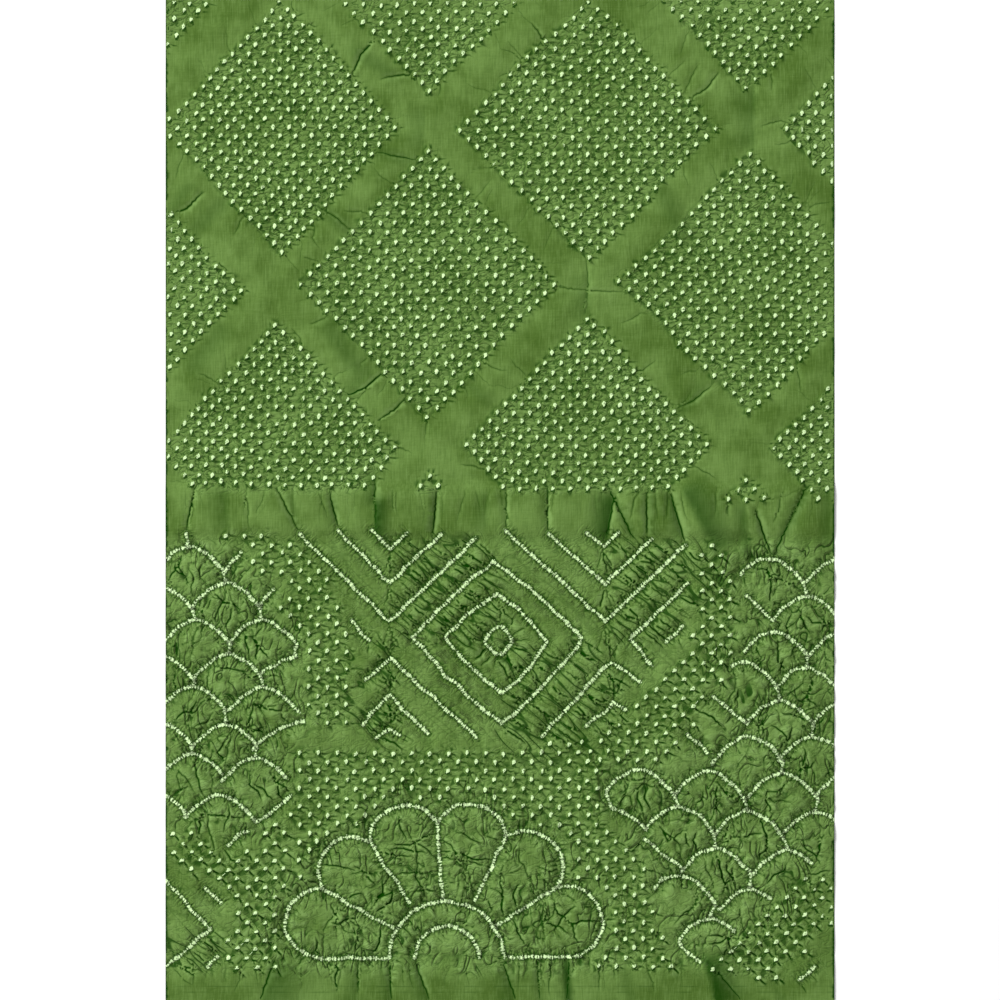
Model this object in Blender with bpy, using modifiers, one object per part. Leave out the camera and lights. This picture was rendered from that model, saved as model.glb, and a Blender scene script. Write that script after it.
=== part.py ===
"""Bandhani cloth: a cut length of tie-dyed cotton, lying face up in the puckers and pleats that its knots leave.

X runs across the cloth and Y along it, with the plain end of the border at -Y. Z is up, from the surface it lies on.
"""

import math

import bpy
from mathutils import Vector, noise

MM = 0.001

# Driving dimensions. The tables and sizes below are in millimetres, from the middle of the cloth.
WIDTH = 501.0
LENGTH = 750.0
THICKNESS = 1.2

# How the grid of the sheet is spent: fine rows over the pleats and the border, wide ones over the field.
COLUMNS = 42
FIELD_ROWS = 25
BORDER_ROWS = 38
FIELD_END = 12.0

# How far the cloth stands off the surface, and how wide each form is.
RIBBON_RISE = 1.1
PLEAT_RISE = 3.0
PUCKER_RISE = 2.4
HEM_RISE = 2.2
STITCH_WIDTH = 7.0
PUCKER_REACH = 26.0
UNEVEN = 0.35
UNEVEN_LENGTH = 46.0

# The cut edge curls up a little, and the four corners lie on the surface.
EDGE_CURL = 0.5
EDGE_WIDTH = 9.0
CORNER_EASE = 24.0

# The two plain bands, between the field and the border and below it, as (top, bottom) and the ease at each end.
PLEAT_BAND = (9.0, -25.0)
HEM_BAND = (-346.0, -395.0)
BAND_EASE = 9.0

# The dotted diamonds of the field: centre x, centre y.
DIAMOND_HALF = (90.0, 97.5)
DIAMOND_GAP = 0.24
DIAMONDS = (
    (-281.0, 405.0),
    (-52.5, 405.0),
    (186.0, 405.0),
    (-164.0, 277.5),
    (66.0, 277.5),
    (304.0, 277.5),
    (-281.0, 157.5),
    (-52.5, 161.0),
    (186.0, 161.0),
    (-167.0, 37.5),
    (64.0, 41.0),
    (292.5, 37.5),
)

# The pleats that the knots pull into the plain bands: top x, top y, foot x, foot y, half width, depth as a share.
PLEATS = (
    (-235.0, 7.5, -235.5, -22.5, 4.5, 0.7),
    (-165.0, 5.0, -151.5, -21.0, 5.0, 0.6),
    (-127.5, 4.5, -121.5, -20.0, 5.0, 0.9),
    (-93.0, 19.0, -91.0, -27.0, 6.0, 1.0),
    (-48.0, 7.5, -50.0, -25.0, 5.0, 0.8),
    (36.0, 7.5, 35.0, -22.5, 6.0, 0.7),
    (81.0, 10.0, 97.0, -27.0, 6.0, 1.0),
    (110.0, 1.5, 110.0, -28.0, 6.0, 0.9),
    (128.0, 2.0, 139.0, -31.5, 6.0, 1.0),
    (190.5, -8.0, 202.0, -39.0, 5.0, 0.8),
    (229.0, 7.5, 205.0, -41.0, 6.0, 1.0),
    (-169.0, -345.0, -180.0, -375.0, 6.0, 0.8),
    (-108.0, -348.0, -106.0, -368.0, 5.0, 0.6),
    (-82.0, -345.0, -81.0, -375.0, 5.0, 0.8),
    (-63.0, -347.0, -53.0, -375.0, 5.0, 0.7),
    (2.0, -347.0, 12.0, -375.0, 5.0, 0.8),
    (27.0, -343.5, 30.0, -375.0, 5.0, 0.5),
    (52.0, -343.0, 50.0, -375.0, 6.0, 1.0),
    (160.0, -345.0, 174.0, -375.0, 9.0, 1.0),
)

# Chevrons of knots, as one end, the point, and the other end: x and y of each.
CHEVRONS = (
    (-96.0, -22.5, -82.5, -37.0, -70.0, -25.0),
    (-122.0, -22.5, -82.5, -62.0, -44.0, -25.5),
    (-151.0, -25.0, -83.0, -91.0, -17.0, -28.5),
    (64.5, -25.0, 77.0, -34.5, 89.0, -25.0),
    (36.0, -25.0, 79.0, -63.0, 112.5, -30.0),
    (4.0, -23.0, 79.0, -91.0, 139.5, -33.0),
    (141.0, -62.0, 98.0, -104.0, 114.0, -124.5),
    (-101.0, -135.0, -82.0, -119.0, -17.0, -178.5),
    (-103.5, -168.0, -83.0, -146.0, -53.0, -175.5),
    (31.0, -177.0, 83.0, -121.0, 105.0, -136.0),
    (64.5, -169.5, 85.5, -151.5, 94.0, -157.0),
)

# The nested diamonds: left x, right x, bottom y, top y.
NESTED = ((-65.0, 61.5, -168.0, -46.0), (-41.0, 35.0, -145.0, -70.5), (-11.5, 8.5, -115.0, -95.0))

# Rows of scallops: x of the first crown, y of the crowns, how many.
SCALLOP_SPAN = 51.0
SCALLOP_HEIGHT = 16.0
SCALLOP_STEPS = 6
SCALLOPS = (
    (-231.0, -36.0, 1),
    (-206.0, -61.5, 1),
    (-228.0, -88.5, 2),
    (-253.0, -115.0, 2),
    (-228.0, -139.5, 2),
    (-256.0, -167.0, 2),
    (-231.0, -192.0, 2),
    (-210.0, -221.0, 1),
    (202.0, -44.0, 2),
    (231.0, -72.0, 1),
    (203.0, -98.0, 2),
    (183.0, -124.0, 2),
    (209.0, -150.0, 2),
    (186.0, -177.0, 2),
    (104.0, -202.5, 4),
    (132.0, -232.0, 3),
    (160.5, -261.5, 3),
    (135.0, -288.0, 2),
    (157.0, -313.5, 1),
)

# The half flower: two arcs round its centre, and six petals between radial lines.
FLOWER_CENTRE = (-40.0, -343.5)
FLOWER_ARCS = (24.0, 43.0)
PETALS = 6
PETAL_FOOT = 46.5
PETAL_JOIN = 103.5
PETAL_CROWN = 118.0
PETAL_STEPS = 6


def ease(value):
    """Smooth step from 0 to 1."""
    value = min(max(value, 0.0), 1.0)
    return value * value * (3.0 - 2.0 * value)


def chain(points):
    """The straight stretches that join the points."""
    return list(zip(points, points[1:]))


def arc(centre, radius, start, end, steps):
    """Points along an arc, with its angles in radians."""
    angles = [start + (end - start) * step / steps for step in range(steps + 1)]
    return [(centre[0] + radius * math.cos(a), centre[1] + radius * math.sin(a)) for a in angles]


def scallop(crown_x, crown_y):
    """One arch of knots, round at its crown and steep at its two feet."""
    points = []
    for step in range(SCALLOP_STEPS + 1):
        across = 2.0 * step / SCALLOP_STEPS - 1.0
        drop = SCALLOP_HEIGHT * abs(across) ** 1.7
        points.append((crown_x + across * SCALLOP_SPAN / 2, crown_y - drop))
    return points


def petal(number):
    """One petal: its radial line, and the round crown that reaches the next one."""
    left = math.pi * number / PETALS
    right = math.pi * (number + 1) / PETALS
    crown = []
    for step in range(PETAL_STEPS + 1):
        share = step / PETAL_STEPS
        bulge = 1.0 - abs(2.0 * share - 1.0) ** 2.5
        radius = PETAL_JOIN + (PETAL_CROWN - PETAL_JOIN) * bulge
        crown += arc(FLOWER_CENTRE, radius, left + (right - left) * share, right, 1)[:1]
    foot = arc(FLOWER_CENTRE, PETAL_FOOT, left, right, 1)[0]
    return [foot] + crown


def stitched_lines():
    """Every row of knots in the border, as straight stretches that hold the cloth down."""
    lines = []
    for row in CHEVRONS:
        lines += chain([row[0:2], row[2:4], row[4:6]])
    for left, right, bottom, top in NESTED:
        middle_x, middle_y = (left + right) / 2, (bottom + top) / 2
        corners = [(left, middle_y), (middle_x, top), (right, middle_y), (middle_x, bottom)]
        lines += chain(corners + corners[:1])
    for first_x, crown_y, count in SCALLOPS:
        for number in range(count):
            lines += chain(scallop(first_x + number * SCALLOP_SPAN, crown_y))
    for radius in FLOWER_ARCS:
        lines += chain(arc(FLOWER_CENTRE, radius, 0.0, math.pi, 8))
    for number in range(PETALS):
        lines += chain(petal(number))
    left_foot = arc(FLOWER_CENTRE, PETAL_JOIN, math.pi, 0.0, 1)
    lines += chain([left_foot[0], (FLOWER_CENTRE[0] - PETAL_FOOT, FLOWER_CENTRE[1])])
    return lines


def distance(x, y, start, end):
    """From a place on the cloth to a straight stretch."""
    along_x, along_y = end[0] - start[0], end[1] - start[1]
    share = ((x - start[0]) * along_x + (y - start[1]) * along_y) / (along_x**2 + along_y**2)
    share = min(max(share, 0.0), 1.0)
    return math.hypot(x - start[0] - share * along_x, y - start[1] - share * along_y)


def in_band(y, band):
    """1 inside a plain band, easing to 0 at its two edges."""
    top, bottom = band
    return ease((top + BAND_EASE - y) / BAND_EASE) * ease((y - bottom + BAND_EASE) / BAND_EASE)


def ribbon_height(x, y):
    """The plain ribbons puff up between the dotted diamonds, which the knots draw in."""
    half_x, half_y = DIAMOND_HALF
    nearest = min(abs(x - cx) / half_x + abs(y - cy) / half_y for cx, cy in DIAMONDS)
    return RIBBON_RISE * ease((nearest - 1.0) / DIAMOND_GAP) * ease((y - PLEAT_BAND[0]) / BAND_EASE)


def pleat_height(x, y):
    """The plain bands stand up between the pleats, and each pleat dips to the surface."""
    rise = max(PLEAT_RISE * in_band(y, PLEAT_BAND), HEM_RISE * in_band(y, HEM_BAND))
    for top_x, top_y, foot_x, foot_y, half_width, depth in PLEATS:
        away = distance(x, y, (top_x, top_y), (foot_x, foot_y)) / half_width
        rise *= 1.0 - depth * math.exp(-away * away)
    return rise


def pucker_height(x, y, lines):
    """Beside a row of knots the border puffs up, then settles again further off."""
    inside = ease((PLEAT_BAND[1] - y) / BAND_EASE) * ease((y - HEM_BAND[0]) / BAND_EASE)
    if inside == 0.0:
        return 0.0
    away = min(distance(x, y, start, end) for start, end in lines)
    held = 1.0 - math.exp(-((away / STITCH_WIDTH) ** 2))
    return PUCKER_RISE * inside * held * math.exp(-((away / PUCKER_REACH) ** 2))


def underside_height(x, y, lines):
    """How far the underside of the cloth stands off the surface."""
    uneven = 1.0 + UNEVEN * noise.noise(Vector((x, y, 0.0)) / UNEVEN_LENGTH)
    height = max(ribbon_height(x, y), pleat_height(x, y), pucker_height(x, y, lines)) * uneven
    from_side, from_end = WIDTH / 2 - abs(x), LENGTH / 2 - abs(y)
    curl = EDGE_CURL * ease(1.0 - min(from_side, from_end) / EDGE_WIDTH)
    return max(height, curl) * ease(math.hypot(from_side, from_end) / CORNER_EASE)


def row_place(share):
    """From a row's share of the grid, 0 at the hem end, to its place along the cloth."""
    border_share = BORDER_ROWS / (BORDER_ROWS + FIELD_ROWS)
    if share <= border_share:
        return -LENGTH / 2 + (FIELD_END + LENGTH / 2) * share / border_share
    return FIELD_END + (LENGTH / 2 - FIELD_END) * (share - border_share) / (1.0 - border_share)


def cloth_material():
    material = bpy.data.materials.new("dyed_cotton")
    material.use_nodes = True
    shader = material.node_tree.nodes["Principled BSDF"]
    shader.inputs["Base Color"].default_value = (0.107, 0.224, 0.045, 1.0)
    shader.inputs["Roughness"].default_value = 0.85
    shader.inputs["Metallic"].default_value = 0.0
    return material


def make_cloth(collection):
    """A flat grid lifted into the cloth's folds, then given its thickness."""
    bpy.ops.mesh.primitive_grid_add(
        x_subdivisions=COLUMNS, y_subdivisions=FIELD_ROWS + BORDER_ROWS, size=1.0
    )
    cloth = bpy.context.object
    cloth.name = cloth.data.name = "cloth"
    lines = stitched_lines()
    for vertex in cloth.data.vertices:
        x = vertex.co.x * WIDTH
        y = row_place(vertex.co.y + 0.5)
        vertex.co = Vector((x, y, underside_height(x, y, lines))) * MM
    cloth.data.shade_smooth()
    cloth.data.materials.append(cloth_material())

    thickness = cloth.modifiers.new("thickness", "SOLIDIFY")
    thickness.thickness = THICKNESS * MM
    thickness.offset = 1.0
    thickness.use_even_offset = False

    for other in list(cloth.users_collection):
        other.objects.unlink(cloth)
    collection.objects.link(cloth)


for leftover in list(bpy.data.objects):
    bpy.data.objects.remove(leftover, do_unlink=True)
bandhani_cloth = bpy.data.collections.new("bandhani_cloth")
bpy.context.scene.collection.children.link(bandhani_cloth)
make_cloth(bandhani_cloth)
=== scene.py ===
import math

import bpy
import numpy as np
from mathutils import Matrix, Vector, noise
from mathutils.geometry import delaunay_2d_cdt


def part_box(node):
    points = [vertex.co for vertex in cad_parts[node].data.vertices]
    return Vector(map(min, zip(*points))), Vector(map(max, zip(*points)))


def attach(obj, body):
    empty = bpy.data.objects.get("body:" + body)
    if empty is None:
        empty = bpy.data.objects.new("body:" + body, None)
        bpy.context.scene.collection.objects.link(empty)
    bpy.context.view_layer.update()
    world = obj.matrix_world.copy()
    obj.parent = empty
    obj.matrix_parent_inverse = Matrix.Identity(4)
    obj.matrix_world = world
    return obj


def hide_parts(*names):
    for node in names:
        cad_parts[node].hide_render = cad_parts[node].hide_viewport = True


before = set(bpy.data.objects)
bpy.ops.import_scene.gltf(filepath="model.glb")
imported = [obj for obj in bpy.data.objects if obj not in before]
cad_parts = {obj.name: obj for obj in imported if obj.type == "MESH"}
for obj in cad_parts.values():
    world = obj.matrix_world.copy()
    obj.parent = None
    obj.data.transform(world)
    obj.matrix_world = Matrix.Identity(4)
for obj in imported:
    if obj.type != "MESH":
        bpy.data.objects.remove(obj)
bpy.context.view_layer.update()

# The cut length
# Plain-woven cotton voile, cut square and laid face up. Everything on it is placed in millimetres from its
# middle, X across the width and Y along the length.
MM = 0.001
cloth_low, cloth_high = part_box("cloth")
WIDTH = round((cloth_high.x - cloth_low.x) / MM)
LENGTH = round((cloth_high.y - cloth_low.y) / MM)
hand = np.random.default_rng(26)
noise.seed_set(26)


def ease(value):
    """Smooth step from 0 to 1, for a number or an array."""
    value = np.clip(value, 0.0, 1.0)
    return value * value * (3.0 - 2.0 * value)


def drift(x, y, length, seed):
    """A slow, smooth unevenness from -1 to 1, with humps about this many millimetres long."""
    return np.array([noise.noise(Vector((a / length, b / length, seed))) for a, b in zip(x, y)])


def inside(corners, x, y):
    """Which places lie inside an outline given by its corners."""
    within = np.zeros(len(x), bool)
    for (ax, ay), (bx, by) in zip(corners, corners[1:] + corners[:1]):
        if ay == by:
            continue
        crossing = (ay > y) != (by > y)
        within ^= crossing & (x < (bx - ax) * (y - ay) / (by - ay) + ax)
    return within


# Tied dots of the field
# Each diamond is a lattice of pinches, tied tight with thread before the dye bath, so each stays pale and
# stands up from the cloth. A slow sway keeps its rows from looking ruled.
# Rows: centre x, centre y, half width, half height, and the lowest dot before the plain band.
DOTS_A_SIDE = 16
DOT_SWAY = 4.0
DIAMONDS = (
    (-281, 405, 90, 97, 0),
    (-52.5, 405, 93, 97.5, 0),
    (186, 405, 94, 96, 0),
    (-164.5, 279, 86, 94.5, 0),
    (66.5, 278, 95, 97, 0),
    (304, 277.5, 90, 97, 0),
    (-281, 157.5, 84, 95, 0),
    (-54, 162, 94.5, 98.5, 0),
    (186, 163, 96, 95.5, 0),
    (-167, 37.5, 88.5, 95, 8),
    (64.5, 40.5, 91, 94.5, 7),
    (292.5, 37.5, 88.5, 95, -3),
    (-54, -81, 94, 97, 8),
    (184, -82.5, 94, 97.5, -2),
)


def diamond_dots(centre_x, centre_y, half_x, half_y, lowest):
    """The lattice of one diamond, row by row along its two slanting sides."""
    row, column = np.mgrid[0:DOTS_A_SIDE, 0:DOTS_A_SIDE].reshape(2, -1)
    last = DOTS_A_SIDE - 1
    x = centre_x + (column - row) * half_x / last
    y = centre_y + (column + row - last) * half_y / last
    return np.column_stack([x, y])[y > lowest]


field_dots = np.vstack([diamond_dots(*diamond) for diamond in DIAMONDS])
field_dots[:, 0] += DOT_SWAY * drift(*field_dots.T, 55.0, 41.0)
field_dots[:, 1] += DOT_SWAY * drift(*field_dots.T, 55.0, 51.0)

# Rows of knots
# A line is tied knot against knot with one running thread, so it comes out as a chain of small pale points.
# Chevrons: one end, the point, the other end.
KNOT_PITCH = 2.5
CHEVRONS = (
    (-96, -22.5, -82.5, -37, -70, -25),
    (-122, -22.5, -82.5, -62, -44, -25.5),
    (-151, -25, -83, -91, -17, -28.5),
    (64.5, -25, 77, -34.5, 89, -25),
    (36, -25, 79, -63, 112.5, -30),
    (4, -23, 79, -91, 139.5, -33),
    (141, -62, 98, -104, 114, -124.5),
    (-101, -135, -82, -119, -17, -178.5),
    (-103.5, -168, -83, -146, -53, -175.5),
    (-93, -178.5, -82.5, -172, -74, -177),
    (31, -177, 83, -121, 105, -136),
    (64.5, -169.5, 85.5, -151.5, 94, -157),
    (-250.5, -285, -216.8, -321.8, -250.5, -349.5),
)
# The nested diamonds round the small ring: left corner, top, right, bottom.
NESTED = (
    (-65, -103.5, -4.5, -46, 61.5, -104, 1.5, -168),
    (-41, -103, -2, -70.5, 35, -106.5, 2, -145),
)
NESTED_BOW = 2.5
RING = (-1.0, -105.5, 9.5)
# Short bars and closing lines: one end, the other end, and how far the middle bows to the left of that way.
BARS = (
    (138, -94.5, 124, -106.5, 0),
    (-111, -91, -97.5, -106, 0),
    (-220.9, -289.9, -208.7, -302.9, 0),
    (-211.9, -341.9, -219.2, -350, 0),
    (223.5, -359.3, 236.3, -349.5, 0),
    (-234.8, -24, -234, -36, 0),
    (-205.5, -53.3, -194.3, -39, 0),
    (-181.8, -80, -170.4, -66, 0),
    (-151.8, -109, -153.4, -117.4, 0),
    (-178.5, -130.5, -153.4, -117.4, 1.5),
    (-184.5, -186.8, -146.3, -166.3, 4.5),
    (-183.5, -241, -157.5, -222.4, -1.5),
    (-204, -258, -189, -249, 1),
    (183.8, -71.9, 205, -89.7, 0),
    (159.4, -147.5, 184.5, -167, 0),
    (139.9, -176, 156.9, -189.8, 0),
    (80.5, -221.5, 83, -229.5, 0),
    (83, -229.5, 108.2, -246, 1.5),
    (108.2, -254, 135.8, -275.3, 0),
    (134.2, -332, 150.5, -345.2, -1),
)


def bowed(start_x, start_y, end_x, end_y, bow, steps=8):
    """A line from end to end that swells to one side by its bow."""
    share = np.linspace(0.0, 1.0, steps + 1)
    long_x, long_y = end_x - start_x, end_y - start_y
    length = math.hypot(long_x, long_y)
    swell = bow * 4.0 * share * (1.0 - share)
    x = start_x + long_x * share - swell * long_y / length
    y = start_y + long_y * share + swell * long_x / length
    return np.column_stack([x, y])


def corners(row):
    """A row of x, y, x, y ... as a list of places."""
    return np.array(row, float).reshape(-1, 2)


chevron_lines = [corners(row) for row in CHEVRONS]
for row in NESTED:
    round_row = corners(row + row[:2])
    sides = [bowed(*start, *end, NESTED_BOW) for start, end in zip(round_row, round_row[1:])]
    chevron_lines.append(np.vstack(sides))
turn = np.linspace(0.0, 2.0 * math.pi, 17)
reach = RING[2] * (1.0 + 0.1 * np.cos(4.0 * turn))
chevron_lines.append(np.column_stack([RING[0] + reach * np.cos(turn), RING[1] + reach * np.sin(turn)]))
bar_lines = [bowed(*row) for row in BARS]

# Scallops
# Arches in staggered rows, like fish scales, each hung from the foot of the two above by a short stem.
# Rows: crown x, crown y, and how much of the left and of the right half is tied.
SCALLOP_HALF = 25.2
SCALLOP_DROP = 17.6
SCALLOPS = (
    (-232.5, -35, 1, 1),
    (-205.5, -62, 1, 1),
    (-228, -89.5, 1, 1),
    (-178.5, -89.5, 1, 1.06),
    (-256, -64, 0, 1),
    (-254, -117, 0, 1),
    (-203.6, -115.5, 1, 1),
    (-230.6, -139.5, 1, 1),
    (-177, -140, 1, 1.05),
    (-256, -166, 0, 1),
    (-205.5, -168, 1, 0.95),
    (-230.6, -190.5, 1, 0.9),
    (-183.5, -193, 1, 0.95),
    (-210.3, -220.5, 1, 1),
    (-261, -218, 0, 1),
    (201.8, -43.4, 0.85, 1),
    (255, -43.4, 1, 0),
    (230, -71.9, 1, 1),
    (205.2, -98.6, 0.9, 1),
    (257, -98.6, 1, 0),
    (182, -121.4, 0.35, 1),
    (229.3, -125.5, 0.9, 1),
    (209.3, -150.4, 1, 1),
    (259, -151, 1, 0),
    (186.2, -176.8, 1.08, 1),
    (234.2, -176.8, 1, 1),
    (104, -201.5, 0.95, 1.08),
    (156, -203, 0.95, 1.08),
    (211.5, -204.5, 1, 1.06),
    (262, -203.5, 1, 0),
    (133.4, -229.5, 1, 1.08),
    (185.4, -233, 0.92, 1.06),
    (236.6, -233.8, 0.9, 1),
    (161, -260.5, 1, 1.04),
    (215.5, -262, 1.02, 0.72),
    (133.4, -281, 0.72, 1.12),
    (187, -291.5, 0.9, 0.62),
    (157.7, -313.4, 0.96, 0.68),
)
STEM_REACH = 9.0
STEM_LONGEST = 15.0


def scallop(crown_x, crown_y, left, right, steps=12):
    """One arch, round at its crown and steep at its feet."""
    across = np.linspace(-left, right, steps + 1)
    return np.column_stack([
        crown_x + across * SCALLOP_HALF,
        crown_y - SCALLOP_DROP * np.abs(across) ** 1.75,
    ])


def stems(arches):
    """From each foot of an arch, the short line down to the crown that hangs under it."""
    found = []
    for arch in arches:
        foot = arch[-1]
        for crown_x, crown_y, _, _ in SCALLOPS:
            if abs(crown_x - foot[0]) < STEM_REACH and 3.0 < foot[1] - crown_y < STEM_LONGEST:
                found.append(np.array([foot, (crown_x, crown_y)]))
    return found


scallop_lines = [scallop(*row) for row in SCALLOPS]
scallop_lines += stems(scallop_lines)

# Half flower
# Two arcs and six petals at the middle of the border's foot, tied as the other lines are.
# Rows: the angle of each line between petals, where the line starts and ends from the flower's centre, and
# how far the petal after it reaches.
FLOWER = (-40.0, -343.5)
FLOWER_ARCS = (24.0, 43.0)
PETAL_LINES = (
    (180, 45.5, 96, 124),
    (150.5, 46.5, 106.5, 121),
    (123.5, 50, 105, 119),
    (94, 46, 102, 117),
    (64, 49, 102, 117.5),
    (33, 45.5, 99, 120),
    (1, 46.5, 100, 0),
)


def round_flower(angle, radius):
    """Places at these angles, in degrees, and distances from the flower's centre."""
    angle = np.radians(angle)
    return np.column_stack([FLOWER[0] + radius * np.cos(angle), FLOWER[1] + radius * np.sin(angle)])


def petal_crown(this_line, next_line, steps=16):
    """The round end of a petal, from the top of one line to the top of the next."""
    share = np.linspace(0.0, 1.0, steps + 1)
    angle = this_line[0] + (next_line[0] - this_line[0]) * share
    join = this_line[2] + (next_line[2] - this_line[2]) * share
    bulge = 1.0 - np.abs(2.0 * share - 1.0) ** 2.6
    return round_flower(angle, join + (this_line[3] - join) * bulge)


flower_lines = [round_flower(np.linspace(180.0, 0.0, 19), np.full(19, radius)) for radius in FLOWER_ARCS]
for this_line in PETAL_LINES:
    flower_lines.append(round_flower(np.full(2, this_line[0]), np.array(this_line[1:3])))
petal_crowns = [petal_crown(*pair) for pair in zip(PETAL_LINES, PETAL_LINES[1:])]
flower_lines += petal_crowns

# Dotted ground of the border
# Dots in half-step rows fill what the lines leave, tied like those of the field but further apart.
# Rows: where the lattice starts, then the outline that it fills.
BORDER_STEP = (6.95, 6.65)
DOTTED_GROUNDS = (
    (
        (-205.5, -27.0),
        ((-208, -24), (-174, -22), (-150, -34), (-135, -49), (-126, -61), (-116, -82), (-111, -105),
         (-111, -167), (-148, -167), (-150, -112), (-161, -86), (-178, -63), (-191, -45), (-208, -36)),
    ),
    (
        (158.5, -35.0),
        ((153, -33), (167, -38), (176, -56), (180, -105), (176, -124), (166, -135), (152, -150), (148, -168),
         (115, -200), (70, -195), (56, -183), (92, -158), (104, -145), (139, -113), (148, -85), (150, -50)),
    ),
    (
        (-108.0, -189.5),
        ((-150, -185), (-112, -187), (-60, -186), (5, -184), (60, -182), (74, -196), (75, -228),
         (88, -250), (104, -262), (112, -290), (116, -320), (140, -352), (70, -350), (80, -300),
         (-148, -300), (-158, -240), (-156, -215), (-149, -200)),
    ),
    (
        (-245.0, -250.0),
        ((-248, -246), (-228, -250), (-208, -262), (-180, -262), (-176, -244), (-156, -228), (-120, -240),
         (-130, -285), (-160, -315), (-165, -350), (-208, -352), (-200, -300), (-222, -283), (-248, -275)),
    ),
    (
        (228.0, -284.5),
        ((219, -281), (252, -283), (252, -315), (240, -326), (225, -341), (211, -351), (208, -360),
         (157, -353), (171, -330), (195, -311), (214, -292)),
    ),
)
LINE_CLEARANCE = 7.0
DOT_CLEARANCE = 6.5
HAND_LENGTH = 9.0
HAND_SWAY = 1.7
FARTHEST = 40.0


def along_line(line):
    """How far along a line each of its places is."""
    return np.concatenate([[0.0], np.cumsum(np.hypot(*np.diff(line, axis=0).T))])


def line_distance(x, y, lines):
    """From each place to the nearest line: how far, how many knots along it, and how it slants there."""
    nearest, run, slant = np.full(len(x), 1e3), np.zeros(len(x)), np.zeros(len(x))
    for line in lines:
        along = along_line(line)
        knots = max(1, round(along[-1] / KNOT_PITCH)) / along[-1]
        for (ax, ay), (bx, by), before in zip(line, line[1:], along):
            if ax == bx and ay == by:
                continue
            close = (x > min(ax, bx) - FARTHEST) & (x < max(ax, bx) + FARTHEST)
            close &= (y > min(ay, by) - FARTHEST) & (y < max(ay, by) + FARTHEST)
            px, py = x[close] - ax, y[close] - ay
            dx, dy = bx - ax, by - ay
            length = math.hypot(dx, dy)
            past = (px * dx + py * dy) / length**2
            share = np.clip(past, 0.0, 1.0)
            away = np.hypot(px - share * dx, py - share * dy)
            better = away < nearest[close]
            rows = np.flatnonzero(close)[better]
            nearest[rows] = away[better]
            run[rows] = (before + past[better] * length) * knots
            slant[rows] = 2.0 * dx * dy / length**2
    return nearest, run, slant


def lattice(start, outline):
    """Dots of one ground, a half step along on every other row."""
    step_x, step_y = BORDER_STEP
    found = []
    for row in range(-60, 60):
        columns = np.arange(-60, 60) * 2 + row % 2
        found.append(np.column_stack([start[0] + columns * step_x, np.full(120, start[1] - row * step_y)]))
    found = np.vstack(found)
    return found[inside(outline, *found.T)]


def hand_tied(line):
    """A drawn line as the hand ties it, a little off its way; lines that meet still meet."""
    along = along_line(line)
    where = np.unique(np.concatenate([along, np.arange(0.0, along[-1], HAND_LENGTH / 2)]))
    x, y = np.interp(where, along, line[:, 0]), np.interp(where, along, line[:, 1])
    return np.column_stack([
        x + HAND_SWAY * drift(x, y, HAND_LENGTH, 21.0),
        y + HAND_SWAY * drift(x, y, HAND_LENGTH, 31.0),
    ])


def thinned(dots):
    """The dots without those that crowd an earlier one, where two grounds overlap."""
    kept = []
    for x, y in dots:
        if all(math.hypot(x - a, y - b) > DOT_CLEARANCE for a, b in kept):
            kept.append((x, y))
    return np.array(kept)


drawn = (chevron_lines, bar_lines, scallop_lines, flower_lines)
tied = [[hand_tied(line) for line in group] for group in drawn]
chevron_lines, bar_lines, scallop_lines, flower_lines = tied
all_lines = chevron_lines + bar_lines + scallop_lines + flower_lines
border_dots = np.vstack([lattice(*ground) for ground in DOTTED_GROUNDS])
border_dots = border_dots[line_distance(*border_dots.T, all_lines)[0] > LINE_CLEARANCE]
border_dots = border_dots[~inside(np.vstack(petal_crowns).tolist(), *border_dots.T)]
border_dots = thinned(border_dots)

# Folds
# The knots take up cloth, so the plain ground round them stands in ribbons, pleats and puckers.
# Pleats: top x, top y, foot x, foot y, half width, depth as a share of the rise there, and how far the lip to
# its right runs down.
RIBBON_RISE = 0.8
PLEAT_RISE = 2.6
PUCKER_RISE = 2.4
HEM_RISE = 1.8
LIP_RISE = 1.6
STITCH_WIDTH = 7.0
PUCKER_REACH = 26.0
PLEAT_BAND = (9.0, -25.0)
HEM_BAND = (-346.0, -395.0)
BAND_EASE = 15.0
PLEATS = (
    (-228, 10, -235.5, -22.5, 3, 0.6, 0),
    (-167, 8, -151.5, -22, 3, 0.35, 0),
    (-127.5, 4.5, -121.5, -20, 3.5, 0.6, 0),
    (-94, 19, -93, -27, 2.5, 0.4, 0),
    (-47.5, 7.5, -50, -25, 3.5, 0.6, 0),
    (4.5, 7.5, 4.5, -20, 3, 0.2, 0),
    (35.5, 7.5, 35.5, -22.5, 3.5, 0.5, 0),
    (85, 0, 79.5, -30, 3, 1, 0),
    (81, 10, 99, -27, 4, 1, 0),
    (109.5, 4, 110, -28, 3.5, 0.6, 0),
    (128, 4, 138.5, -31.5, 4.5, 0.9, 18),
    (192, -9, 202, -39, 3.5, 0.7, 0),
    (229, 8.5, 205, -41, 5, 0.9, 0),
    (-169, -345, -180, -375, 5, 0.7, 0),
    (-106.5, -348, -106.5, -368, 3.5, 0.4, 0),
    (-82.5, -345, -82, -375, 3.5, 0.6, 0),
    (-63, -347, -53, -375, 3.5, 0.5, 0),
    (2, -347, 12, -375, 3.5, 0.6, 0),
    (27, -343.5, 30, -375, 3.5, 0.4, 0),
    (52, -343, 50, -375, 5, 0.9, 0),
    (156, -345, 181, -375, 4, 0.5, 0),
)
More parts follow.
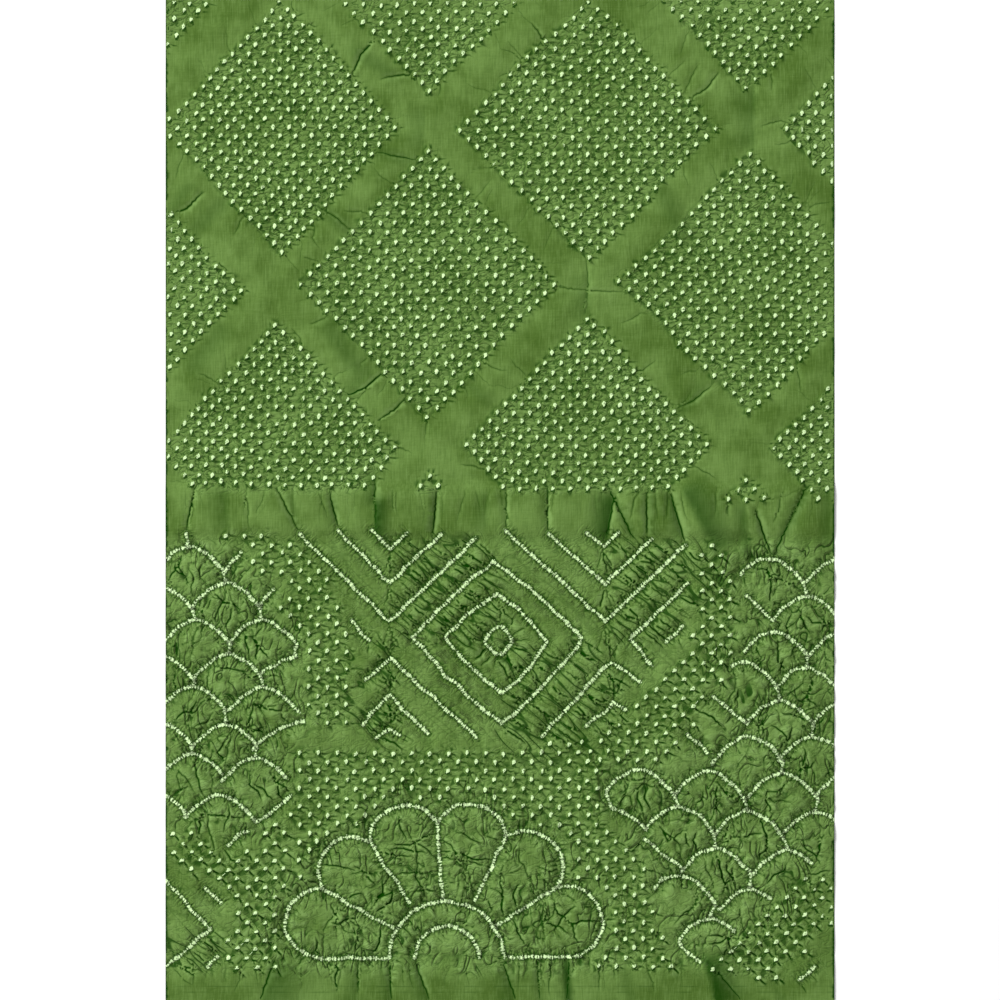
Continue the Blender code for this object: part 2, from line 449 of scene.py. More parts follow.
# Falls, where the cloth drops away from the light beside a fold: top x, top y, foot x, foot y, how wide to
# its left and to its right, and how steep. One wider on its left drops to its line, and one wider on its
# right drops from it. The shade beside each is painted into the cloth's colour as well.
FALL_EASE = 12.0
FALL_RISE = 1.3
FALLS = (
    (-205, 8, -203, -24, 22, 3, 0.4),
    (-156, 8, -151, -22, 12, 2, 0.35),
    (-125, 6, -122, -22, 9, 2, 0.4),
    (-93, 22, -93.5, -4, 14, 2, 0.6),
    (-93.5, 2, -93.5, -32, 1.5, 15, 1),
    (-46.6, 5, -50, -24, 9, 2, 0.45),
    (-11, 6, -12, -24, 13, 5, 0.35),
    (3, 8, 4, -20, 8, 3, 0.3),
    (35, 8, 35.5, -22, 8, 1.5, 0.35),
    (85, 4, 79.5, -32, 23, 2, 0.95),
    (82, 10, 100, -28, 5, 3, 0.5),
    (109.5, 6, 110.5, -28, 7, 12, 0.4),
    (128, 6, 138.5, -31, 13, 1.5, 0.55),
    (138, 10, 164, -40, 7, 26, 0.75),
    (182, -2, 187, -44, 12, 3, 0.6),
    (192, -8, 202, -40, 5, 2, 0.45),
    (230, 10, 205, -41, 5, 5, 0.6),
    (246, 8, 246, -36, 11, 4, 0.45),
    (-170, -342, -179, -380, 2, 42, 0.6),
    (-106.5, -346, -107.5, -380, 12, 2, 0.4),
    (-82.5, -343, -82, -380, 11, 2, 0.45),
    (-63, -345, -52, -380, 14, 2, 0.5),
    (7, -346, 9, -380, 16, 4, 0.45),
    (27, -345, 32, -380, 9, 4, 0.35),
    (49, -342, 51.5, -380, 6, 6, 1),
    (95, -348, 101, -380, 14, 4, 0.25),
    (151, -342, 164, -380, 2.5, 32, 1),
    (206, -356, 211, -380, 6, 2, 0.35),
    (190.5, 310, 190, 262, 26, 1.5, 0.4),
    (118, 236, 138, 196, 12, 16, 0.35),
    (66, 168, 66, 134, 20, 2, 0.35),
    (-58, 292, -57, 262, 18, 2, 0.3),
    (-96, 100, -122, 66, 12, 6, 0.4),
    (154, 88, 134, 62, 10, 6, 0.35),
    (-232, 238, -250, 212, 8, 10, 0.35),
    (-132, 136, -104, 92, 13, 18, 0.4),
    (-206, 130, -232, 96, 15, 14, 0.35),
    (-34, 94, -8, 74, 8, 9, 0.3),
    (-112, 338, -80, 318, 9, 11, 0.4),
    (-204, 226, -230, 200, 12, 10, 0.35),
    (-138, 222, -112, 200, 9, 11, 0.35),
    (-94, 264, -62, 252, 9, 7, 0.35),
)


def in_band(y, band):
    """1 inside a plain band, easing to 0 across its two edges."""
    return ease((band[0] - y) / BAND_EASE + 0.6) * ease((y - band[1]) / BAND_EASE + 0.6)


def diamond_share(x, y, rows):
    """How far a place lies from the nearest diamond's centre: 1 is its edge."""
    nearest = np.full(len(x), 9.0)
    for centre_x, centre_y, half_x, half_y, _ in rows:
        nearest = np.minimum(nearest, np.abs(x - centre_x) / half_x + np.abs(y - centre_y) / half_y)
    return nearest


def beside_falls(x, y):
    """How much in the shade of a fall each place lies, and how far the fall lifts or drops it."""
    shade, lift = np.zeros(len(x)), np.zeros(len(x))
    for top_x, top_y, foot_x, foot_y, left, right, steep in FALLS:
        long_x, long_y = foot_x - top_x, foot_y - top_y
        length = math.hypot(long_x, long_y)
        across = (long_x * (y - top_y) - long_y * (x - top_x)) / length
        down = (long_x * (x - top_x) + long_y * (y - top_y)) / length
        ends = ease(down / FALL_EASE + 0.5) * ease((length - down) / FALL_EASE + 0.5)
        away = np.where(across > 0.0, across / right, -across / left)
        near = steep * ends * ease(1.0 - away)
        shade = np.maximum(shade, near)
        lift += FALL_RISE * near * (1.0 if right > left else -1.0)
    return shade, lift


def cloth_height(x, y, line_away):
    """How high the cloth lies on its main folds, before knots and creases."""
    field = ease((y - PLEAT_BAND[0]) / BAND_EASE)
    ribbon = RIBBON_RISE * ease((diamond_share(x, y, DIAMONDS[:12]) - 0.98) / 0.4) * field
    plain = np.maximum(in_band(y, PLEAT_BAND), in_band(y, HEM_BAND))
    pleats = np.maximum(PLEAT_RISE * in_band(y, PLEAT_BAND), HEM_RISE * in_band(y, HEM_BAND))
    for top_x, top_y, foot_x, foot_y, half_width, depth, lip_run in PLEATS:
        away = line_distance(x, y, [np.array([(top_x, top_y), (foot_x, foot_y)])])[0]
        pleats *= 1.0 - depth * np.exp(-away / half_width)
        if lip_run:
            right = (foot_x - top_x) * (y - top_y) > (foot_y - top_y) * (x - top_x)
            pleats += right * plain * LIP_RISE * ease(away / 2.5) * np.exp(-away / lip_run)
    border = ease((PLEAT_BAND[1] - y) / BAND_EASE) * ease((y - HEM_BAND[0]) / BAND_EASE)
    held = 1.0 - np.exp(-((line_away / STITCH_WIDTH) ** 2))
    pucker = PUCKER_RISE * border * held * np.exp(-((line_away / PUCKER_REACH) ** 2))
    uneven = 1.0 + 0.45 * drift(x, y, 46.0, 0.0)
    return np.maximum(np.maximum(ribbon, pleats), pucker) * uneven + beside_falls(x, y)[1]


# Creases
# Where the knots pull hardest the cloth is crushed into sharp little creases, with a lip at both sides. The
# larger ones are in the table, and the rest follow from the lines and the dots.
# Rows: x and y of each place along it, then how deep it is.
CREASES = (
    (-221, -78, -223.5, -85, -220, -90, 0.8),
    (-184, -104, -178.5, -112.5, -174, -117, 1),
    (-213, -125, -201, -126.5, -190, -129, 0.8),
    (-185, -153, -175, -156.5, -164, -157.5, 0.9),
    (-184.5, -151.5, -186, -160, -190.5, -169.5, 0.8),
    (-206, -181, -211.5, -189, -203, -200, 1),
    (-229, -193.5, -227, -207, -223, -220, 0.9),
    (-166.5, -204, -166, -221, -164, -225, 1),
    (-226, -235.5, -210, -236, -195, -238.5, 0.9),
    (-206, -262.5, -201, -270, -190, -270, 0.9),
    (2, -115.5, 10, -124.5, 22.5, -128, 1),
    (-2, -120, 3, -126, 6, -133.5, 0.9),
    (200, -49, 203, -62, 202, -75, 0.9),
    (224, -82, 228, -94.5, 231, -97.5, 1),
    (242, -83, 243, -92, 241, -100, 0.8),
    (193.5, -107, 192, -112, 195, -117, 0.8),
    (208, -107, 208, -121, 216, -129, 1),
    (178.5, -142, 178, -147, 175.5, -151.5, 0.9),
    (234, -133.5, 229.5, -148.5, 235.5, -153, 0.9),
    (149, -158, 158, -162, 166, -169.5, 1),
    (200, -161, 197, -167, 196.5, -172.5, 0.8),
    (205, -169.5, 212, -174, 216, -181, 0.9),
    (109, -215, 108, -223.5, 112.5, -231, 1),
    (163, -223.5, 162, -230, 165, -235, 0.8),
    (171, -243, 169, -252, 172.5, -260, 1.2),
    (195, -239, 199, -250, 200, -262.5, 1.2),
    (125, -256, 132, -251.5, 138, -247.5, 0.7),
    (139.5, -247.5, 139, -255, 142, -260, 0.8),
    (163, -267, 167, -285, 171, -292, 1.2),
    (-99, -260, -82.5, -265.5, -67, -267, 0.9),
    (-76.5, -239, -74, -247, -70, -254, 0.8),
    (-64.5, -256, -62, -264, -63, -272, 0.8),
    (-135, -273, -122, -274, -109, -277, 0.8),
    (-79.5, -280, -66, -279, -52, -280, 0.8),
    (-80, -292, -82.5, -301.5, -92, -307.5, 1.2),
    (-64.5, -293, -55, -292, -45, -293, 0.8),
    (-39, -268.5, -25, -270, -11, -274, 0.8),
    (-89, -319, -91, -334, -96, -340.5, 1.2),
    (-13, -296, -9, -301, -6, -307.5, 0.8),
    (10, -313, 13, -323, 18, -332, 0.9),
    (40.5, -322.5, 47, -312, 55.5, -304, 0.9),
    (-94.5, 344, -104, 334, -112, 317, 0.9),
    (-88, 316, -75, 318.5, -61.5, 318, 0.7),
    (-151, 355, -144, 355.5, -137, 355, 0.5),
    (-92, 261, -76, 257, -61.5, 255, 0.7),
    (-135, 219, -123, 212, -113, 202.5, 0.6),
    (-224, 229.5, -235.5, 217.5, -250, 215.5, 0.9),
    (24, 357, 30, 349, 35, 339, 0.6),
    (163, 319.5, 155, 309, 144, 301.5, 0.7),
    (40.5, 160, 65, 157, 91, 156, 0.5),
    (64.5, 181, 66, 160, 64, 138, 0.5),
    (-89, 94.5, -101, 84, -115.5, 78, 1.1),
    (-71, 76.5, -80, 67, -91, 60, 0.8),
    (157.5, 85, 146, 75, 133.5, 69, 0.7),
)
CREASE_PITCH = 2.1
CREASE_SIDE = 1.45
CREASES_A_SCALLOP = 5
CREASES_A_PETAL = 10
RAKE_PITCH = 5.0
RAKE_HEADING = -36.0
GATHER_PITCH = 5.5
RAKED_LINES = len(CHEVRONS) + len(NESTED)
DRAWS_A_DIAMOND = 14
DRAW_START = 1.03
PULL_PITCH = 11.0
LINK_HEADINGS = (-4.0, -42.0)
LINK_LENGTH = 7.4
LINK_START = 2.4
FAR = 6.0
FAN_ANGLES = (58.0, 84.0, 112.0)


def laid(x, y, lift, pale=0.0, u=FAR, v=FAR, seed=0.0, crease=0.0):
    return np.column_stack(np.broadcast_arrays(x, y, lift, pale, u, v, seed, crease))


def stations(line, pitch):
    """Places a pitch apart down a line: x, y, the way square to it there, and the number and count."""
    along = along_line(line)
    count = 2 * max(1, round(along[-1] / pitch / 2))
    where = np.linspace(0.0, along[-1], count + 1)
    x, y = np.interp(where, along, line[:, 0]), np.interp(where, along, line[:, 1])
    way_x, way_y = np.gradient(x), np.gradient(y)
    length = np.hypot(way_x, way_y) + 1e-9
    return laid(x, y, -way_y / length, way_x / length, np.arange(count + 1), count)[:, :6]


def crease_run(place, heading, turns, shortest=3.5, longest=7.5):
    """A short angular crease from a place, with a new heading at each turn."""
    places = [place]
    for turn in turns:
        angle = math.radians(heading + turn)
        step = hand.uniform(shortest, longest)
        places.append(places[-1] + step * np.array([math.cos(angle), math.sin(angle)]))
    return np.array(places)


def crushed(centre, spread, count, shortest, longest):
    """Creases crushed in round a place, most of them running down the cloth and the rest across it."""
    found = []
    for _ in range(count):
        place = np.array(centre) + hand.uniform(-1.0, 1.0, 2) * spread
        bend = hand.choice([-1.0, 1.0]) * hand.uniform(15.0, 60.0)
        heading = hand.choice([-90.0, -90.0, 0.0]) + hand.normal(0.0, 22.0)
        run = crease_run(place, heading, (0.0, bend, 0.4 * bend), shortest, longest)
        found.append((run, hand.uniform(0.3, 1.0)))
    return found


def raked(line):
    """Wrinkles drawn down to the right, out of both sides of each limb that climbs to the right."""
    found = []
    for start, end in zip(line, line[1:]):
        length = math.dist(start, end)
        if (end[0] - start[0]) * (end[1] - start[1]) <= 0.0:
            continue
        for number in range(round(length / RAKE_PITCH)):
            place = start + (end - start) * (number + hand.uniform(0.1, 0.9)) * RAKE_PITCH / length
            for turned, turns in ((0.0, 3), (180.0, 1)):
                heading = RAKE_HEADING + turned + hand.normal(0.0, 5.0)
                run = crease_run(place, heading, hand.normal(0.0, 9.0, turns), 5.0, 8.5)
                found.append((run, hand.uniform(0.3, 1.0)))
    return found


def gathered_up(line):
    """Short creases square to a row of knots, now on one side and now on the other."""
    found = []
    for x, y, side_x, side_y, _, _ in stations(line, GATHER_PITCH):
        way = hand.choice([-1.0, 1.0])
        heading = math.degrees(math.atan2(way * side_y, way * side_x)) + hand.normal(0.0, 14.0)
        run = crease_run(np.array([x, y]), heading, (0.0, hand.normal(0.0, 25.0)), 2.5, 5.5)
        found.append((run, hand.uniform(0.2, 0.8)))
    return found


def linked(place, heading, depth):
    """The crease that runs from a dot towards the next one."""
    heading = math.radians(heading + hand.normal(0.0, 9.0))
    away = np.array([math.cos(heading), math.sin(heading)])
    end = hand.uniform(LINK_LENGTH - 1.5, LINK_LENGTH)
    return np.array([place + LINK_START * away, place + end * away]), depth


creases = [(corners(row[:-1]), row[-1]) for row in CREASES]
creases += [(corners(row[:4]), 0.5 + 0.7 * row[5]) for row in PLEATS]
for row in SCALLOPS:
    creases += crushed((row[0], row[1] - 13.0), (17.0, 8.0), CREASES_A_SCALLOP, 4.5, 9.5)
for this_line, next_line in zip(PETAL_LINES, PETAL_LINES[1:]):
    petal_middle = round_flower((this_line[0] + next_line[0]) / 2, 82.0)[0]
    creases += crushed(petal_middle, (22.0, 22.0), CREASES_A_PETAL, 4.5, 12.0)
for row in CHEVRONS[:6] + CHEVRONS[7:12]:
    outward = -1.0 if row[3] < row[1] else 1.0
    for angle in FAN_ANGLES:
        point = np.array(row[2:4]) + (0.0, 3.0 * outward)
        heading = outward * (angle + hand.normal(0.0, 6.0))
        creases.append((crease_run(point, heading, (0.0, 12.0, -8.0)), hand.uniform(0.4, 0.8)))
for centre_x, centre_y, half_x, half_y, _ in DIAMONDS[:12]:
    for _ in range(DRAWS_A_DIAMOND):
        angle = hand.uniform(0.0, 360.0)
        out = np.array([math.cos(math.radians(angle)), math.sin(math.radians(angle))])
        place = (centre_x, centre_y) + out * DRAW_START / (abs(out[0]) / half_x + abs(out[1]) / half_y)
        if place[1] > PLEAT_BAND[0]:
            run = crease_run(place, angle + hand.normal(0.0, 25.0), hand.normal(0.0, 12.0, 3), 3.0, 8.0)
            creases.append((run, hand.uniform(0.1, 0.45)))
for angle in range(0, 360, 30):
    out = np.array([math.cos(math.radians(angle)), math.sin(math.radians(angle))])
    heading = angle + hand.normal(0.0, 8.0)
    run = crease_run(RING[:2] + out * RING[2], heading, hand.normal(0.0, 14.0, 3), 3.0, 6.0)
    creases.append((run, hand.uniform(0.5, 1.1)))
for line in chevron_lines[:RAKED_LINES]:
    creases += raked(line)
for line in bar_lines + scallop_lines + flower_lines:
    creases += gathered_up(line)

# The creases between dots run nearly level, but slant at the two lower corners and all down the right side.
slanting = ease((-230.0 - border_dots[:, 1]) / 20.0) * ease((np.abs(border_dots[:, 0]) - 150.0) / 20.0)
slanting = np.maximum(slanting, ease((border_dots[:, 0] - 110.0) / 20.0))
for place, slant in zip(border_dots, slanting):
    heading = LINK_HEADINGS[0] + (LINK_HEADINGS[1] - LINK_HEADINGS[0]) * slant
    creases.append(linked(place, heading, 0.7 + 0.6 * slant))
for place, sway in zip(field_dots, drift(*field_dots.T, 70.0, 61.0)):
    creases.append(linked(place, 8.0 * sway, hand.uniform(0.2, 0.65)))
for top_x in np.arange(PULL_PITCH - WIDTH / 2, WIDTH / 2 - PULL_PITCH, PULL_PITCH):
    for top_y, longest in ((PLEAT_BAND[0] - 2.0, 11.0), (HEM_BAND[0] - 1.0, 9.0)):
        place = np.array([top_x + hand.normal(0.0, 4.0), top_y])
        run = crease_run(place, -90.0 + hand.normal(0.0, 10.0), hand.normal(0.0, 9.0, 3), 2.0, longest)
        creases.append((run, hand.uniform(0.05, 0.5)))

# The sheet
# One skin of cloth whose points lie where its shape needs them: rings round each dot, rungs along each row of
# knots, a line down each crease, and an even scatter over the plain ground.
# Rings: radius, lift and how pale there. Rungs: how far out, lift at a knot and lift in the gap after it.
DOT_PEAK = 1.3
DOT_SIDES = 6
DOT_RINGS = ((1.9, 0.42, 0.38), (3.4, -0.45, 0.0))
RUNGS = ((0.0, 1.1, 0.6), (1.9, 0.0, -0.3), (4.6, 0.15, -0.25))
CREASE_TO_LINE = 2.6
CREASE_TO_DOT = 2.0
GROUND_STEP = 3.5
EDGE_STEP = 2.0
EDGE_WIDTH = 24.0
EDGE_CLEAR = 0.8
CRUMPLE_RISE = 1.7
UNEVEN_RISE = 0.35
LIE = 0.75
LOWEST = 0.25


class Points:
    """Places as rows: x, y, lift, how pale, the place on its dot and the dot's seed, and how creased."""

    def __init__(self):
        self.rows = np.zeros((0, 8))

    def lay(self, rows, reach):
        """Adds the rows that are on the cloth and about this far from every point already laid."""

        def cells(places, right, up):
            return (np.round(places[:, 0] / reach) + right) * 1e5 + np.round(places[:, 1] / reach) + up

        rows = rows[np.abs(rows[:, 0]) < WIDTH / 2 - EDGE_CLEAR]
        rows = rows[np.abs(rows[:, 1]) < LENGTH / 2 - EDGE_CLEAR]
        taken = cells(self.rows, 0, 0)
        crowded = np.zeros(len(rows), bool)
        for right, up in ((0, 0), (0, 1), (0, -1), (1, 0), (-1, 0)):
            crowded |= np.isin(cells(rows, right, up), taken)
        rows = rows[~crowded]
        first = np.unique(cells(rows, 0, 0), return_index=True)[1]
        self.rows = np.vstack([self.rows, rows[np.sort(first)]])


def lay_edge(points):
    """The cut edge, all round."""
    x = np.linspace(-WIDTH / 2, WIDTH / 2, round(WIDTH / EDGE_STEP) + 1)
    y = np.linspace(-LENGTH / 2, LENGTH / 2, round(LENGTH / EDGE_STEP) + 1)[1:-1]
    for side in (-0.5, 0.5):
        points.rows = np.vstack([points.rows, laid(x, side * LENGTH, 0.0), laid(side * WIDTH, y, 0.0)])


def lay_knots(points, lines):
    """Two stations a knot, its crest and the gap after it, each with rungs out to where the gathers end."""
    x, y, side_x, side_y, number, _ = np.vstack([stations(line, KNOT_PITCH / 2) for line in lines]).T
    crest = number % 2 == 0
    for out, high, low in RUNGS:
        for side in (1.0, -1.0) if out else (1.0,):
            reach = side * (out + hand.normal(0.0, 0.08 * out + 0.1, len(x)))
            lift = np.where(crest, high, low) + hand.normal(0.0, 0.13, len(x))
            rows = laid(x + side_x * reach, y + side_y * reach, lift)
            points.lay(rows[crest] if out > 3.0 else rows, 0.6)


def lay_dots(points, dots, turn):
    """Each dot is a leaning point with a pinched ring round it, open where its crease is drawn out."""
    count = len(dots)
    dots = dots + hand.normal(0.0, 0.45, dots.shape)
    turn = np.radians(turn + hand.normal(0.0, 11.0, count))
    size = hand.normal(1.1, 0.13, count)
    seed = hand.uniform(0.0, 1.0, count)

    def ring(radius, angle, lift, pale):
        angle = np.broadcast_to(angle, count)
        x, y = dots[:, 0] + radius * np.cos(angle + turn), dots[:, 1] + radius * np.sin(angle + turn)
        u, v = radius * np.cos(angle) / size, radius * np.sin(angle) / size
        points.lay(laid(x, y, lift + hand.normal(0.0, 0.12, count), pale, u, v, seed), 0.5)

    ring(np.abs(hand.normal(0.0, 0.4, count)), hand.uniform(1.0, 4.0, count), DOT_PEAK, 1.0)
    for side in range(DOT_SIDES):
        angle = 2.0 * math.pi * side / DOT_SIDES
        (near, near_lift, near_pale), (away, away_lift, away_pale) = DOT_RINGS
        upright = math.sin(angle + math.pi / DOT_SIDES) ** 2
        near_reach = near * (1.0 + 0.2 * upright) * hand.normal(1.0, 0.06, count)
        ring(near_reach, angle + math.pi / DOT_SIDES, near_lift, near_pale + 0.2 * upright)
        if side:
            ring(away * hand.normal(1.0, 0.06, count), angle, away_lift, away_pale)


def lay_creases(points, creases):
    """Stations down each crease, with a lip at both sides, left out at a dot or a row of knots."""
    lines = [stations(line, CREASE_PITCH) for line, _ in creases]
    depth = np.concatenate([np.full(len(line), depth) for line, (_, depth) in zip(lines, creases)])
    x, y, side_x, side_y, number, count = np.vstack(lines).T
    x, y = x + hand.normal(0.0, 0.25, len(x)), y + hand.normal(0.0, 0.25, len(x))
    deep = depth * np.sin(0.35 + number / count * (math.pi - 0.7)) ** 0.5
    clear = line_distance(x, y, all_lines)[0] > CREASE_TO_LINE
    for dot_x, dot_y in np.vstack([field_dots, border_dots]):
        clear &= np.hypot(x - dot_x, y - dot_y) > CREASE_TO_DOT
    for side in (0.0, -CREASE_SIDE, CREASE_SIDE):
        # The middle of each crease is marked so its colour is painted darker there, as painted shade.
        lift, crease = (0.5 * deep, 0.0) if side else (-1.0 * deep, np.minimum(0.3 + 0.7 * deep, 1.0))
        points.lay(laid(x + side_x * side, y + side_y * side, lift, crease=crease)[clear], 0.6)


def lay_ground(points):
    """An even scatter, a half step along on every other row, that keeps clear of all the rest."""
    rows = []
    for number, y in enumerate(np.arange(GROUND_STEP - LENGTH / 2, LENGTH / 2 - 1.0, GROUND_STEP * 0.866)):
        x = np.arange(-WIDTH / 2 + GROUND_STEP / 2 * (1 + number % 2), WIDTH / 2 - 1.0, GROUND_STEP)
        rows.append(np.column_stack([x, np.full(len(x), y)]))
    places = np.vstack(rows)
    x, y = (places + hand.normal(0.0, GROUND_STEP * 0.1, places.shape)).T
    points.lay(laid(x, y, 0.0), GROUND_STEP * 0.55)


points = Points()
lay_edge(points)
lay_knots(points, all_lines)
lay_dots(points, field_dots, -8.0)
lay_dots(points, border_dots, -6.0 - 34.0 * slanting)
lay_creases(points, creases)
lay_ground(points)
x, y, lift, pale, spot_u, spot_v, spot_seed, crease = points.rows.T

# Where the cloth is crumpled, raked and dotted, each from 0 to 1, from below the pleats to the plain hem.
line_away, line_run, _ = line_distance(x, y, all_lines)
round_away, _, _ = line_distance(x, y, scallop_lines + flower_lines)
chevron_away, _, chevron_slope = line_distance(x, y, chevron_lines)
in_border = ease((-22.0 - y) / 12.0) * ease((y + 362.0) / 14.0)
crumple = in_border * ease((26.0 - round_away) / 12.0)
rake = in_border * ease((30.0 - chevron_away) / 12.0) * (0.3 + 0.7 * ease(chevron_slope + 0.4))
dotted = ease((1.04 - diamond_share(x, y, DIAMONDS)) / 0.06) * ease((y - 2.0) / 6.0)
for _, outline in DOTTED_GROUNDS:
    dotted = np.maximum(dotted, 0.7 * inside(outline, x, y) * ease((round_away - 2.0) / 4.0))
dotted = np.maximum(dotted, 0.5 * in_border)


def crumpled(x, y, cell, seed):
    """Puffed facets with sharp valleys between, as in crushed paper."""
    puffs = []
    for a, b in zip(x, y):
        place = Vector((a / cell, b / cell, seed))
        place += 0.35 * noise.noise_vector(place * 1.3)
        near, second = noise.voronoi(place)[0][:2]
        puffs.append(min((second - near) / 0.35, 1.0))
    return np.array(puffs)


height = cloth_height(x, y, line_away) + LIE + lift
height += crumple * CRUMPLE_RISE * (crumpled(x, y, 13.0, 3.0) - 0.5)
height += UNEVEN_RISE * drift(x, y, 17.0, 11.0)
height *= 0.35 + 0.65 * ease(np.minimum(WIDTH / 2 - np.abs(x), LENGTH / 2 - np.abs(y)) / EDGE_WIDTH)
height = np.maximum(height, LOWEST)

places = [Vector(place) for place in np.column_stack([x, y]).tolist()]
verts, _, faces, *_ = delaunay_2d_cdt(places, [], [], 0, 1e-6)
skin = bpy.data.meshes.new("cloth_skin")
skin.from_pydata([(place.x * MM, place.y * MM, high * MM) for place, high in zip(verts, height)], [], faces)
cloth = bpy.data.objects.new("cloth_skin", skin)
bpy.context.scene.collection.objects.link(cloth)
skin.shade_smooth()


def hollowness(mesh, x, y, height):
    """How far each point lies below its neighbours, from 1 in a sharp valley to -1 on a sharp ridge."""
    ends = np.empty(len(mesh.edges) * 2, np.int32)
    mesh.edges.foreach_get("vertices", ends)
    one, other = ends.reshape(-1, 2).T
    slope = (height[other] - height[one]) / np.hypot(x[one] - x[other], y[one] - y[other])
    total = np.bincount(one, slope, len(x)) - np.bincount(other, slope, len(x))
    count = np.bincount(one, minlength=len(x)) + np.bincount(other, minlength=len(x))
    return np.clip(total / count / 0.35, -1.0, 1.0)


def keep(name, *values):
    """Stores one value, or three, for each point of the skin, for its material to read."""
    kind = "FLOAT" if len(values) == 1 else "FLOAT_VECTOR"
    attribute = skin.attributes.new(name, kind, "POINT")
    table = np.column_stack(values).astype(np.float32).ravel()
    attribute.data.foreach_set("value" if len(values) == 1 else "vector", table)


at_edge = np.abs(x) > WIDTH / 2 - 0.5
keep("dot_place", spot_u, spot_v, spot_seed)
keep("knot_place", line_run, line_away, ease((8.0 - line_away) / 6.0))
keep("crushing", dotted, crumple, rake)
keep("pinch", pale, crease, at_edge)
# The shade beside each fall, for the material to paint in as painted shade.
keep("fall", beside_falls(x, y)[0])
keep("hollow", hollowness(skin, x, y, height))
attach(cloth, "root")
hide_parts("cloth")


# Resist-dyed cotton
# Voile, tied in knots and then vat-dyed, so the colour is thin on the thread and the tied points stay pale.
# It is matt, with IOR 1.5 as for cotton, a high roughness, next to no gloss and a trace of fibre sheen. Its
# colour has painted shade in every crease and hollow and a painted highlight on every ridge.
def linear(hex_colour):
    """An sRGB hex value as the linear colour that the shader takes."""
    parts = [int(hex_colour[i : i + 2], 16) / 255.0 for i in (1, 3, 5)]
    return [p / 12.92 if p <= 0.04045 else ((p + 0.055) / 1.055) ** 2.4 for p in parts] + [1.0]


GREEN = linear("#4E6B2B")
LIGHT_GREEN = linear("#678642")
# Deep green of the darker yarns and the hem line, and the colour that painted shade goes towards.
DEEP_AND_SHADE_GREEN = linear("#0C3A00")
# Paler yarns and worn patches, and the colour of the painted highlight on ridges.
PALE_AND_LIT_GREEN = linear("#7E9F5A")
PALE_COTTON = linear("#BEE19E")
BRIGHT_COTTON = linear("#E4FCC4")
PER_MM = 1000.0
YARN_MM = 0.9
SLUB_LENGTH = 14.0
HEM_LINE = 366.5
HEM_LINE_HALF = 2.2
SMOOTH = {"interpolation_type": "SMOOTHSTEP"}

material = bpy.data.materials.new("resist_dyed_cotton")
material.use_nodes = True
tree = material.node_tree
tree.nodes.clear()


def add(kind, settings, *values, out=None, **named):
    """A node with its settings, its inputs set or linked in order or by name, and the wanted output."""
    node = tree.nodes.new("ShaderNode" + kind)
    if isinstance(settings, str):
        settings = {"operation": settings}
    for name, value in settings.items():
        setattr(node, name, value)
    given = list(zip([socket for socket in node.inputs if socket.enabled], values))
    given += [(node.inputs[name.replace("_", " ")], value) for name, value in named.items()]
    for socket, value in given:
        if isinstance(value, bpy.types.NodeSocket):
            tree.links.new(value, socket)
        else:
            socket.default_value = value
    return node.outputs[out or 0] if node.outputs else node


place = add("TexCoord", {}, out="Object")
dot_place = add("Attribute", {"attribute_name": "dot_place"}, out="Vector")
dot_flat = add("VectorMath", "MULTIPLY", dot_place, (1.0, 1.0, 0.0))
knot_place = add("Attribute", {"attribute_name": "knot_place"}, out="Vector")
crushing = add("Attribute", {"attribute_name": "crushing"}, out="Vector")
pinch = add("Attribute", {"attribute_name": "pinch"}, out="Vector")
dot_u, dot_v, dot_seed = [add("SeparateXYZ", {}, dot_place, out=axis) for axis in "XYZ"]
run, off, gathered = [add("SeparateXYZ", {}, knot_place, out=axis) for axis in "XYZ"]
dotted_share, crumple_share, rake_share = [add("SeparateXYZ", {}, crushing, out=axis) for axis in "XYZ"]
peak, creased, edge = [add("SeparateXYZ", {}, pinch, out=axis) for axis in "XYZ"]
fall = add("Attribute", {"attribute_name": "fall"}, out="Fac")
hollow = add("Attribute", {"attribute_name": "hollow"}, out="Fac")
fray = add("TexNoise", {}, Vector=place, Scale=PER_MM * 0.8, Detail=2.0)

# A tied point keeps a fleck of undyed cotton, about 2.5 by 4 mm, leaning, pointed below and green in some
# middles, where the thread let the dye in.
narrow = add("Math", "MULTIPLY_ADD", dot_v, 0.4, 1.0)
lean = add("Math", "MULTIPLY_ADD", dot_v, -0.3, dot_u)
lean = add("Math", "DIVIDE", add("Math", "DIVIDE", lean, 1.15), narrow)
body = add("CombineXYZ", {}, lean, add("Math", "DIVIDE", dot_v, 1.9))
body = add("VectorMath", "LENGTH", body, out="Value")
body = add("Math", "MULTIPLY_ADD", add("Math", "SUBTRACT", fray, 0.5), 1.9, body)
body = add("MapRange", SMOOTH, body, 1.1, 0.8)
eye = add("VectorMath", "DISTANCE", dot_flat, (0.2, 0.3, 0.0), out="Value")
eye = add("MapRange", SMOOTH, eye, 0.8, 0.2)
eye = add("Math", "MULTIPLY", eye, add("MapRange", {}, dot_seed, 0.5, 1.0, 0.0, 0.8))
dot = add("Math", "MULTIPLY", body, add("MapRange", SMOOTH, peak, 0.46, 0.53))
dot_paleness = add("Math", "MULTIPLY", dot, add("Math", "SUBTRACT", 1.0, eye))

